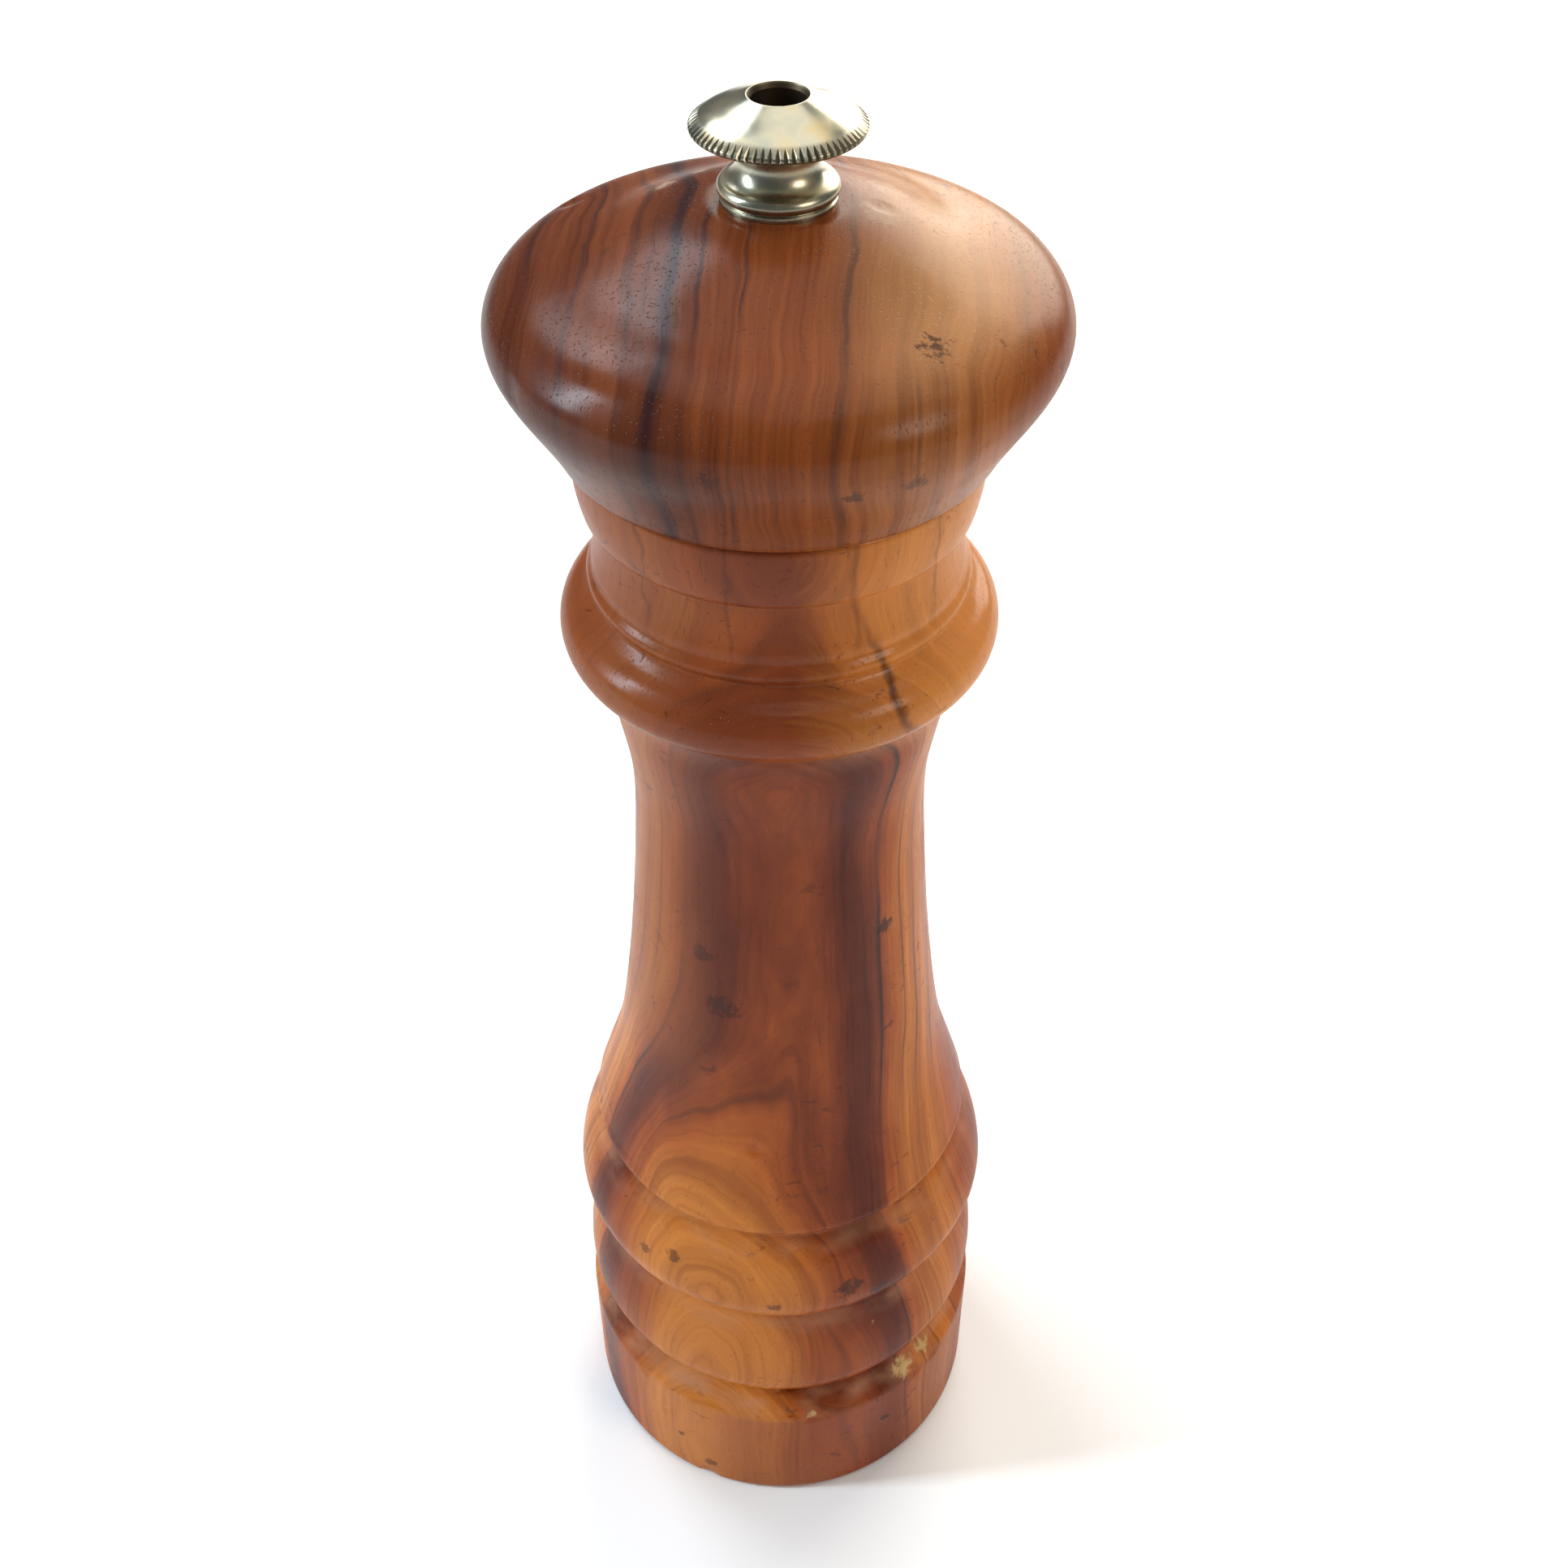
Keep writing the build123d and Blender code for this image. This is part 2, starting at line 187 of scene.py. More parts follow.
def spot_mask(g, place, size, ragged):
    """A ragged spot round a point, 1 in the middle."""
    offset = [g.math("SUBTRACT", axis, at) for axis, at in zip((g.x, g.y, g.z), place)]
    offset[2] = g.math("MULTIPLY", offset[2], 1.2)
    wander = g.math("SUBTRACT", g.noise(g.place, 1.1, 3.0, 0.7), 0.5)
    rough_edge = g.math("MULTIPLY", wander, 3.2 * ragged * size)
    return g.span(g.math("ADD", length_of(g, *offset), rough_edge), size * 0.55, size, 1.0, 0.0)


def spots(g, colour, places, tone, ragged):
    """Lays ragged spots, given as (place, size, strength), over a colour."""
    for place, size, strength in places:
        colour = g.mix(g.math("MULTIPLY", spot_mask(g, place, size, ragged), strength), colour, tone)
    return colour


def flow(g, ring, shift=0.0):
    """Coordinates that run along the growth rings, for streaks and grain."""
    along_y = g.math("MULTIPLY", g.y, 0.03)
    along_z = g.math("MULTIPLY", g.z, 0.025)
    return g.vector(g.math("ADD", ring, shift), along_y, along_z)


def wood_tone(g, ring, tones, veins, vein_tone, streaking=0.60):
    """Broad colour across the rings, soft streaks, fine grain, and thin dark veins that come and go.

    Returns the colour and the fine grain.
    """
    cloud = g.noise(g.scaled(g.place, (1, 1, 0.35)), 0.11, 3.0, 0.6)
    blurred = g.math("ADD", ring, g.math("MULTIPLY", g.math("SUBTRACT", cloud, 0.5), 6.0))
    colour = g.ramp(blurred, tones)
    streak = g.noise(flow(g, ring), 0.42, 3.0, 0.55)
    colour = g.mix(streaking, colour, g.ramp(streak, STREAK_STOPS), "MULTIPLY")
    fine = g.noise(flow(g, ring, 40.0), 2.1, 3.0, 0.6)
    colour = g.mix(0.6, colour, g.ramp(fine, GRAIN_STOPS), "MULTIPLY")
    presence = g.span(g.noise(g.scaled(g.place, (1, 1, 0.5)), 0.05, 2.0), 0.36, 0.60)
    ragged = g.math("ADD", ring, g.math("MULTIPLY", g.math("SUBTRACT", streak, 0.5), 2.5))
    for place, width, strength in veins:
        line = g.math("MULTIPLY", g.near(ragged, place, width), presence)
        colour = g.mix(g.math("MULTIPLY", line, strength), colour, vein_tone)
    return colour, fine


def wood_marks(g, colour, fleck_from, fleck_tone):
    """Clustered dark flecks and open pores. Returns the colour and the pores."""
    fleck_field = g.noise(g.scaled(g.place, (0.7, 0.7, 1.1)), 0.55, 3.0, 0.65, 0.8)
    cluster = g.span(g.noise(g.place, 0.06, 1.0), fleck_from, fleck_from + 0.14)
    flecks = g.math("MULTIPLY", g.span(fleck_field, 0.60, 0.68), cluster)
    colour = g.mix(g.math("MULTIPLY", flecks, 0.55), colour, fleck_tone)
    pores = g.noise(g.scaled(g.place, (1, 1, 0.16)), 3.6, 2.0, 0.6)
    pore = g.span(pores, 0.61, 0.72)
    return g.mix(g.math("MULTIPLY", pore, 0.30), colour, fleck_tone), pore


def oiled(g, colour, fine, pore, wear_and_sheen, gloss):
    """Hand-rubbed oil finish: uneven gloss, slight waves, open pores and a duller coat where wear_and_sheen
    is set, which on the body is its painted sheen bands.
    """
    handling = g.noise(g.place, 0.09, 3.0, 0.6)
    roughness = g.span(handling, 0.3, 0.7, gloss - 0.05, gloss + 0.07)
    roughness = g.math("ADD", roughness, g.math("MULTIPLY", wear_and_sheen, 0.25))
    waves = g.noise(g.scaled(g.place, (1, 1, 0.5)), 0.22, 2.0)
    relief = g.bump(waves, 0.10, 0.35)
    relief = g.bump(fine, 0.03, 0.3, relief)
    relief = g.bump(pore, -0.06, 0.5, relief)
    g.set(Base_Color=colour, Roughness=0.6, Normal=relief, IOR=1.0)
    return g.set(Coat_Weight=0.45, Coat_IOR=1.42, Coat_Roughness=roughness, Coat_Normal=relief)


def painted_sheen_faces(g, colour, bands, tone):
    """Painted sheen: pale bands given as (z, half height, strength), broken up by noise."""
    broken = g.span(g.noise(g.scaled(g.place, (1, 1, 2)), 0.16, 2.0, 0.5), 0.30, 0.75)
    wear_and_sheen = 0.0
    for z, half, strength in bands:
        band = g.math("MULTIPLY", g.near(g.z, z, half), strength)
        wear_and_sheen = g.math("MAXIMUM", wear_and_sheen, g.math("MULTIPLY", band, broken))
    return g.mix(wear_and_sheen, colour, tone), wear_and_sheen


STREAK_STOPS = [(0.28, srgb(150, 112, 88)), (0.42, srgb(206, 180, 154)), (0.55, srgb(240, 226, 202)),
                (0.72, srgb(255, 248, 226))]
GRAIN_STOPS = [(0.30, srgb(184, 158, 136)), (0.50, srgb(232, 220, 200)), (0.70, srgb(255, 250, 234))]
AMBER = srgb(206, 128, 58)
DEEP_AMBER = srgb(178, 94, 42)
RED_BROWN = srgb(138, 66, 35)
HEART = srgb(102, 43, 26)
BLACK_BROWN = srgb(48, 24, 20)
BODY_TONES = [
    (6, DEEP_AMBER), (14, AMBER), (21, AMBER), (25.5, DEEP_AMBER), (28.0, RED_BROWN),
    (30.2, HEART), (32, HEART), (33.8, RED_BROWN), (35.5, DEEP_AMBER), (38, AMBER), (44, AMBER),
    (50, DEEP_AMBER), (58, RED_BROWN), (66, DEEP_AMBER), (80, RED_BROWN),
]
HEAD_TONES = [
    (-30, srgb(92, 46, 30)), (-20, srgb(110, 58, 36)), (-13, srgb(128, 70, 42)), (-9, srgb(98, 52, 36)),
    (-4, srgb(134, 72, 40)), (4, srgb(146, 80, 42)), (9, srgb(150, 88, 48)), (15, srgb(172, 112, 64)),
    (21, srgb(168, 104, 58)), (25, srgb(140, 76, 42)), (30, srgb(150, 84, 46)),
]


# Veins are (distance from the pith, half width, strength). Spots are (place, radius, strength).
BODY_VEINS = [
    (23.2, 0.5, 0.20), (26.2, 0.5, 0.35), (34.2, 0.6, 0.85), (38.4, 0.4, 0.6), (41.2, 0.35, 0.45),
    (47.0, 0.6, 0.6), (53.0, 0.5, 0.5), (57.0, 0.8, 0.6),
]
BODY_KNOTS = [
    ((12.6, -13.0, 108.0), 1.5, 0.8), ((-1.8, -21.0, 88.0), 1.1, 0.7), ((-6.5, -17.0, 98.5), 2.6, 0.6),
    ((-9.0, -15.6, 106.0), 1.8, 0.5), ((9.4, -27.0, 52.0), 2.3, 0.7), ((-1.0, -28.5, 50.0), 1.2, 0.6),
    ((13.5, -25.0, 49.5), 1.6, 0.6), ((-14.5, -24.0, 55.0), 1.4, 0.6), ((-18.0, -21.0, 53.0), 1.2, 0.6),
    ((-10.5, -27.0, 4.2), 1.2, 0.6), ((15.6, -24.4, 13.0), 1.0, 0.8), ((-15.0, -24.8, 9.0), 0.8, 0.7),
]
BODY_CHIPS = [
    ((18.5, -21.5, 22.0), 2.3, 0.85), ((21.6, -18.2, 22.6), 1.9, 0.8), ((13.2, -24.6, 39.0), 1.0, 0.7),
    ((4.5, -28.2, 20.6), 0.8, 0.7), ((-2.3, -21.0, 90.5), 0.7, 0.6), ((-12.4, -18.6, 101.0), 0.5, 0.6),
]
# Painted sheen bands, on the ledge and the bead tops, are (z, half height, strength), and collar veins are
# (x, half width).
PAINTED_SHEEN_BANDS = [(22.2, 2.8, 0.60), (42.0, 3.6, 0.36), (59.2, 3.2, 0.36)]
COLLAR_VEINS = [(-3.4, 0.45), (8.9, 0.6), (-12.0, 0.35), (17.0, 0.4)]
FOOT_Z = (19.0, 21.0)         # where the plain foot band ends
FLARE_Z = (66.0, 108.0)       # the flare, from the beads up into the waist
TORUS_Z = (136.0, 146.0)      # where the waist gives way to the neck mouldings
COLLAR_Z = (150.0, 158.0)


def body_rings(g):
    """Rings round a pith in front of the body, which leans left towards the base. Low on the left and on
    the right they stand further out."""
    pith_x = g.span(g.z, 62.0, 104.0, -9.0, 1.5)
    pith_y = g.span(g.z, 134.0, 148.0, -47.0, -53.5)
    ring = ring_field(g, pith_x, pith_y, 8.0, 5.0)
    left_low = g.math("MULTIPLY", g.span(g.x, -18.0, -3.0, 1.0, 0.0), g.span(g.z, *FLARE_Z, 1.0, 0.0))
    right_low = g.math("MULTIPLY", g.span(g.x, 4.0, 14.0), g.span(g.z, 30.0, 62.0, 1.0, 0.0))
    ring = g.math("SUBTRACT", ring, g.math("MULTIPLY", left_low, 6.0))
    return g.math("SUBTRACT", ring, g.math("MULTIPLY", right_low, 4.5))


def body_tones_and_painted_light(g, colour, fine):
    """The body's broad lighter and darker areas: its neck, darker on the left with a painted sheen on the
    right, painted shade on its left side above the flare, and a darker foot band.
    """
    jagged_x = g.math("ADD", g.x, g.math("MULTIPLY", g.math("SUBTRACT", fine, 0.5), 9.0))
    # The neck's ramp runs from darker reddish wood on the left to a painted sheen that makes the right pale.
    neck_stops = [(-12, srgb(124, 60, 34)), (1, srgb(140, 70, 38)), (9, AMBER), (18, srgb(220, 150, 84))]
    neck_tone_and_sheen = g.ramp(jagged_x, neck_stops)
    colour = g.mix(g.math("MULTIPLY", g.span(g.z, *TORUS_Z), 0.62), colour, neck_tone_and_sheen)
    # Painted shade: the left side above the flare is darkened.
    shaded_left = g.math("MULTIPLY", g.span(jagged_x, -14.0, -5.0, 1.0, 0.0), g.span(g.z, 76.0, 92.0))
    colour = g.mix(g.math("MULTIPLY", shaded_left, 0.65), colour, srgb(134, 70, 35))
    foot = g.math("MULTIPLY", g.span(g.z, *FOOT_Z, 1.0, 0.0), g.span(jagged_x, -13.0, -5.0))
    return g.mix(g.math("MULTIPLY", foot, 0.50), colour, RED_BROWN)


def neck_veins(g, colour):
    """Thin veins down the collar, and a dark one that slants across the torus on the right."""
    wander = g.math("MULTIPLY", g.noise(g.scaled(g.place, (1, 1, 0.6)), 0.3, 3.0), 3.0)
    drifting = g.math("ADD", g.x, wander)
    collar = g.span(g.z, *COLLAR_Z)
    for x, width in COLLAR_VEINS:
        line = g.math("MULTIPLY", g.near(drifting, x, width), collar)
        colour = g.mix(g.math("MULTIPLY", line, 0.32), colour, BLACK_BROWN)
    slope = g.math("ADD", drifting, g.math("MULTIPLY", g.math("SUBTRACT", g.z, 145.0), 0.43))
    diagonal = g.math("MULTIPLY", g.near(slope, 14.8, 0.9), g.near(g.z, 149.0, 12.0))
    return g.mix(g.math("MULTIPLY", diagonal, 0.75), colour, BLACK_BROWN)


def body_wood():
    """The body's wood: arched figure, broad tones with painted shade and sheen, veins, knots, painted sheen
    bands and chips.
    """
    g = Graph("figured_wood_body")
    ring = body_rings(g)
    calm_near_pith = g.span(ring, 18.0, 27.0, 0.20, 0.60)
    colour, fine = wood_tone(g, ring, BODY_TONES, BODY_VEINS, BLACK_BROWN, calm_near_pith)
    colour = body_tones_and_painted_light(g, colour, fine)
    colour = neck_veins(g, colour)
    colour, pore = wood_marks(g, colour, 0.44, srgb(76, 34, 20))
    colour = spots(g, colour, BODY_KNOTS, BLACK_BROWN, 0.7)
    # Painted sheen: pale bands on the ledge and the bead tops, whose mask also dulls the coat.
    colour, wear_and_sheen = painted_sheen_faces(g, colour, PAINTED_SHEEN_BANDS, srgb(190, 138, 106))
    colour = spots(g, colour, BODY_CHIPS, srgb(200, 168, 112), 0.6)
    return oiled(g, colour, fine, pore, wear_and_sheen, 0.21)


HEAD_STREAKS = [(-8.2, 1.2, 0.85), (-16.5, 0.6, 0.5)]
HEAD_VEINS = [
    (-12.5, 0.7, 0.5), (-6.0, 0.5, 0.6), (-1.8, 0.6, 0.6), (7.2, 0.8, 0.65), (13.5, 0.4, 0.4),
    (23.0, 0.8, 0.8), (-23.0, 0.6, 0.6),
]
HEAD_KNOTS = [
    ((13.6, -17.0, 186.2), 1.9, 0.75), ((11.2, -20.0, 185.2), 1.3, 0.75), ((15.6, -19.0, 185.4), 0.9, 0.6),
    ((6.5, -26.5, 177.5), 1.2, 0.6), ((12.0, -24.5, 178.0), 1.5, 0.5), ((-6.0, -27.0, 180.0), 1.4, 0.5),
]
HEAD_RUBBED = [
    ((9.5, -1.5, 191.4), 2.4, 0.22), ((10.5, 5.0, 191.2), 2.2, 0.25), ((-11.0, 7.0, 190.8), 1.3, 0.35),
    ((-7.5, 9.0, 190.9), 1.0, 0.25),
]
FAR_PITH = 150.0              # the head's pith is this far to its left, so its rings are nearly straight


def head_shoulder_and_sheen(g, colour, fine):
    """The head's dark left shoulder, and a painted sheen that makes its right top pale."""
    jagged_x = g.math("ADD", g.x, g.math("MULTIPLY", g.math("SUBTRACT", fine, 0.5), 12.0))
    left = g.span(jagged_x, -9.0, 2.0, 1.0, 0.0)
    dark_side = g.math("MULTIPLY", g.near(g.z, 178.0, 9.0), left)
    colour = g.mix(g.math("MULTIPLY", dark_side, 0.60), colour, srgb(58, 28, 22))
    # Painted sheen: the right of the head's top is made pale.
    painted_sheen_top = g.math("MULTIPLY", g.span(g.z, 183.0, 190.0), g.span(g.x, 3.0, 18.0))
    return g.mix(g.math("MULTIPLY", painted_sheen_top, 0.60), colour, srgb(208, 160, 110))


def head_wood():
    """Nearly straight streaks from front to back, darker on the left."""
    g = Graph("figured_wood_head")
    ring = g.math("SUBTRACT", ring_field(g, -FAR_PITH, 0.0, 5.0, 4.0), FAR_PITH)
    colour, fine = wood_tone(g, ring, HEAD_TONES, HEAD_VEINS, srgb(40, 22, 24))
    frayed = g.math("ADD", ring, g.math("MULTIPLY", fine, 1.2))
    for x, width, strength in HEAD_STREAKS:
        line = g.near(frayed, x, width)
        colour = g.mix(g.math("MULTIPLY", line, strength), colour, srgb(40, 22, 26))
    colour = head_shoulder_and_sheen(g, colour, fine)
    colour, pore = wood_marks(g, colour, 0.50, srgb(60, 30, 22))
    colour = spots(g, colour, HEAD_KNOTS, srgb(44, 24, 22), 0.9)
    colour = spots(g, colour, HEAD_RUBBED, srgb(206, 180, 150), 0.7)
    return oiled(g, colour, fine, pore, 0.0, 0.25)


# ---- metal -----------------------------------------------------------------------------------
def metal_material(name, colour, stain, roughness, brushed=(1, 1, 1), stain_from=0.56):
    """Metal with fine tool marks, tarnish in patches and uneven gloss."""
    g = Graph(name)
    marks = g.noise(g.scaled(g.place, brushed), 3.0, 3.0, 0.6)
    patches = g.noise(g.place, 0.45, 3.0, 0.62)
    tarnish = g.span(patches, stain_from, stain_from + 0.16)
    tone = g.mix(g.math("MULTIPLY", marks, 0.35), colour, stain)
    tone = g.mix(g.math("MULTIPLY", tarnish, 0.7), tone, stain)
    uneven = g.math("ADD", g.math("MULTIPLY", marks, 0.5), g.math("MULTIPLY", patches, 0.5))
    shine = g.span(uneven, 0.3, 0.7, roughness - 0.06, roughness + 0.12)
    relief = g.bump(marks, 0.02, 0.25)
    return g.set(Base_Color=tone, Metallic=1.0, Roughness=shine, Normal=relief)


def knob_material():
    """Worn nickel over brass: warm plate and brass showing in places, a painted reflection of the wood with
    grime in the knurling on the rim, a painted reflection of the wood below the crown, and a darkened eye.
    """
    g = Graph("worn_nickel_knob")
    radius = length_of(g, g.x, g.y)
    patches = g.noise(g.place, 0.28, 2.0, 0.5)
    fine = g.noise(g.scaled(g.place, (1, 1, 3)), 3.4, 4.0, 0.6)
    plate = [(0.30, srgb(172, 176, 160)), (0.52, srgb(196, 190, 166)), (0.72, srgb(206, 188, 146))]
    tone = g.ramp(patches, plate)
    # Brass showing through the worn plate.
    wear_and_sheen = g.span(fine, 0.60, 0.78)
    tone = g.mix(g.math("MULTIPLY", wear_and_sheen, 0.35), tone, srgb(176, 142, 92))
    # Darkening towards brown: below the crown it is a painted reflection of the wood, on the knurled rim a
    # painted reflection of the wood with grime, and the eye is darkened almost fully.
    below_crown = g.span(g.z, 198.2, 199.2, 1.0, 0.0)
    edge = g.span(radius, 7.0, 7.5)
    eye = g.span(radius, 2.7, 3.1, 1.0, 0.0)
    painted_reflection_and_grime = g.math("MAXIMUM", g.math("MULTIPLY", edge, 0.45), g.math("MULTIPLY", eye, 0.97))
    painted_reflection_and_grime = g.math("MAXIMUM", painted_reflection_and_grime, g.math("MULTIPLY", below_crown, 0.25))
    tone = g.mix(painted_reflection_and_grime, tone, srgb(64, 50, 36))
    roughness = g.math("ADD", g.span(patches, 0.3, 0.7, 0.17, 0.26), g.math("MULTIPLY", painted_reflection_and_grime, 0.30))
    relief = g.bump(fine, 0.012, 0.25)
    return g.set(Base_Color=tone, Metallic=1.0, Roughness=roughness, Normal=relief)


# ---- geometry helpers ------------------------------------------------------------------------
def section_of(node, angle):
    """The outline, as (radius, height) points in order, of a CAD node cut by the half plane at angle."""
    cut = bmesh.new()
    cut.from_mesh(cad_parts[node].data)
    bmesh.ops.remove_doubles(cut, verts=cut.verts, dist=1e-6)
    outward = Vector((math.cos(angle), math.sin(angle), 0))
    normal = Vector((-outward.y, outward.x, 0))
    everything = [*cut.verts, *cut.edges, *cut.faces]
    found = bmesh.ops.bisect_plane(cut, geom=everything, plane_co=(0, 0, 0), plane_no=normal)
    edges = [e for e in found["geom_cut"] if isinstance(e, bmesh.types.BMEdge)]
    edges = [e for e in edges if all(v.co.dot(outward) > 1e-5 for v in e.verts)]
    links = {}
    for edge in edges:
        for vertex in edge.verts:
            links.setdefault(vertex, []).append(edge)
    start = min(links, key=lambda v: (round(v.co.z, 5), v.co.dot(outward)))
    outline, vertex, edge = [], start, links[start][0]
    while True:
        outline.append((vertex.co.dot(outward), vertex.co.z))
        vertex = edge.other_vert(vertex)
        if vertex is start or len(links[vertex]) < 2:
            break
        edge = next(e for e in links[vertex] if e is not edge)
    cut.free()
    return np.array(outline)


def evenly(outline, step, rounding):
    """A closed outline resampled at about step, with its corners softened by rounding passes."""
    closed = np.vstack([outline, outline[:1]])
    along = np.concatenate([[0], np.cumsum(np.hypot(*np.diff(closed, axis=0).T))])
    at = np.linspace(0, along[-1], int(along[-1] / step), endpoint=False)
    points = np.stack([np.interp(at, along, closed[:, k]) for k in (0, 1)], axis=1)
    for _ in range(rounding):
        points = (np.roll(points, 1, axis=0) + 2 * points + np.roll(points, -1, axis=0)) / 4
    return points


def grid_mesh(name, rings, closed_rows=True):
    """A mesh of quads from closed rings of points, (rows, columns, 3). closed_rows joins the last ring
    to the first."""
    rows, columns = rings.shape[:2]
    mesh = bpy.data.meshes.new(name)
    last = rows if closed_rows else rows - 1
    faces = [
        (r * columns + c, r * columns + (c + 1) % columns, (r + 1) % rows * columns + (c + 1) % columns,
         (r + 1) % rows * columns + c)
        for r in range(last) for c in range(columns)
    ]
    mesh.from_pydata(rings.reshape(-1, 3).tolist(), [], faces)
    mesh.polygons.foreach_set("use_smooth", [True] * len(mesh.polygons))
    piece = bpy.data.objects.new(name, mesh)
    bpy.context.scene.collection.objects.link(piece)
    return piece


def face_outward(piece):
    """Makes a closed mesh's faces point out."""
    work = bmesh.new()
    work.from_mesh(piece.data)
    bmesh.ops.recalc_face_normals(work, faces=work.faces)
    work.to_mesh(piece.data)
    work.free()


UNEVEN_DEPTH = 0.06 * MM      # mean and swing of the hand-sanded unevenness
UNEVEN_SCALE = 60             # waves of it per metre
RAGGED_SCALE = 1400           # waves per metre round the edge of a dent


def dent(points, normals, place, size, depth):
    """Pushes points near place inwards, with a ragged edge."""
    offset = points - np.array(place) * MM
    distance = np.sqrt((offset ** 2).sum(-1)) / (size * MM)
    near = np.argwhere(distance < 1.4)
    for row, column in near:
        rough = noise.noise(Vector(points[row, column]) * RAGGED_SCALE) * 0.35
        share = max(0.0, 1 - distance[row, column] - rough)
        points[row, column] -= normals[row, column] * depth * MM * min(1.0, 1.8 * share)


def runs_anticlockwise(outline):
    """Whether a closed outline runs anticlockwise, by the sign of its area."""
    after = np.roll(outline, -1, axis=0)
    return np.sum(outline[:, 0] * after[:, 1] - after[:, 0] * outline[:, 1]) > 0


def turned_piece(name, node, angle, columns, step, dents, seed):
    """A turned wooden piece with softened edges, a hand-sanded unevenness and dents."""
    outline = evenly(section_of(node, angle), step, 1)
    tangent = np.roll(outline, -1, axis=0) - np.roll(outline, 1, axis=0)
    tangent /= np.maximum(np.linalg.norm(tangent, axis=1, keepdims=True), 1e-9)
    sign = 1 if runs_anticlockwise(outline) else -1
    turn = np.linspace(0, 2 * math.pi, columns, endpoint=False)
    cos, sin = np.cos(turn), np.sin(turn)
    heights = np.repeat(outline[:, 1:], columns, 1)
    points = np.stack([outline[:, :1] * cos, outline[:, :1] * sin, heights], axis=2)
    out_r, out_z = sign * tangent[:, 1:], -sign * tangent[:, :1]
    normals = np.stack([out_r * cos, out_r * sin, np.repeat(out_z, columns, 1)], axis=2)
    for row in range(len(outline)):
        for column in range(columns):
            at = Vector(points[row, column]) * UNEVEN_SCALE + Vector((seed, seed, seed))
            points[row, column] -= normals[row, column] * UNEVEN_DEPTH * (1 + noise.noise(at))
    for place, size, depth in dents:
        dent(points, normals, place, size, depth)
    piece = grid_mesh(name, points)
    face_outward(piece)
    return piece


# ---- wooden pieces ---------------------------------------------------------------------------
LEDGE_Z = 20.3                # the edge of the foot, in millimetres
GROOVE_Z = 24.4               # the groove above it
BODY_DENTS = [                # (place, radius, depth), in millimetres
    ((0.8, -25.6, GROOVE_Z), 1.3, 1.2), ((19.8, -21.0, LEDGE_Z), 2.0, 0.45),
    ((22.6, -18.0, LEDGE_Z), 1.7, 0.4), ((4.5, -28.5, LEDGE_Z), 1.3, 0.35),
    ((7.2, -28.0, LEDGE_Z), 1.0, 0.3), ((13.5, -24.8, 40.0), 1.3, 0.3),
    ((-3.2, -21.5, 75.4), 1.2, 0.3), ((-20.0, -21.0, LEDGE_Z), 1.6, 0.25),
    ((-11.0, -26.8, 1.0), 1.6, 0.3), ((16.0, 24.1, LEDGE_Z), 1.5, 0.3),
    ((-24.0, 16.2, LEDGE_Z), 1.6, 0.35), ((24.5, 15.5, 3.0), 1.8, 0.3),
]
HEAD_DENTS = [
    ((14.0, -21.0, 184.5), 1.6, 0.2), ((-20.5, 12.0, 186.0), 1.8, 0.2), ((9.5, -0.5, 191.6), 1.4, 0.12),
    ((-24.0, -15.0, 181.0), 1.5, 0.2), ((12.0, 24.0, 182.0), 1.6, 0.2),
]


def dress(piece, body, slot, material, *nodes):
    """Gives a new piece its material and its body, and hides the CAD nodes that it stands for. slot is not
    used.
    """
    piece.data.materials.clear()
    piece.data.materials.append(material)
    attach(piece, body)
    if nodes:
        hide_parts(*nodes)
    return piece


def make_wooden_pieces():
    step = 0.4 * MM
    columns = 256
    body = turned_piece("turned_body", "body", 0.0, columns, step, BODY_DENTS, 3.1)
    head = turned_piece("turned_head", "head", math.pi / 4, columns, step, HEAD_DENTS, 11.7)
    dress(body, "housing", "body_wood", body_wood(), "body")
    dress(head, "head", "head_wood", head_wood(), "head")


# ---- shaft -----------------------------------------------------------------------------------
SHAFT_HALF = SHAFT_HIGH.x
STUD_R = 2.5 * MM
PIVOT_R = 2.0 * MM
THREAD_PITCH = 0.8 * MM
THREAD_DEPTH = 0.42 * MM
SQUARE_FROM, SQUARE_TO = 10.8 * MM, 178.0 * MM
THREAD_FROM = SQUARE_TO + 8 * MM
THREAD_RINGS_FROM = SQUARE_TO + 7.9 * MM
PIVOT_CHAMFER = 0.3 * MM
STUD_CHAMFER = 0.4 * MM
CORNER_SHARE = 1.335          # distance to a rounded corner, over half the square's width
SHAFT_COLUMNS = 64


def square_radius(turn):
    """Distance from the axis to a square bar with rounded edges."""
    flat = SHAFT_HALF / max(abs(math.cos(turn)), abs(math.sin(turn)))
    return min(flat, SHAFT_HALF * CORNER_SHARE)


def shaft_radius(z, turn):
    """The shaft's radius at a height and an angle: pivot, square bar or threaded stud."""
    if z < SQUARE_FROM:
        return PIVOT_R - max(0.0, PIVOT_CHAMFER - (z - SHAFT_LOW.z))
    if z <= SQUARE_TO:
        return square_radius(turn)
    phase = (z / THREAD_PITCH + turn / (2 * math.pi)) % 1.0
    cut = THREAD_DEPTH * abs(2 * phase - 1) if z > THREAD_FROM else 0.0
    lead = max(0.0, STUD_CHAMFER - (SHAFT_HIGH.z - z))
    return STUD_R - max(cut, lead)


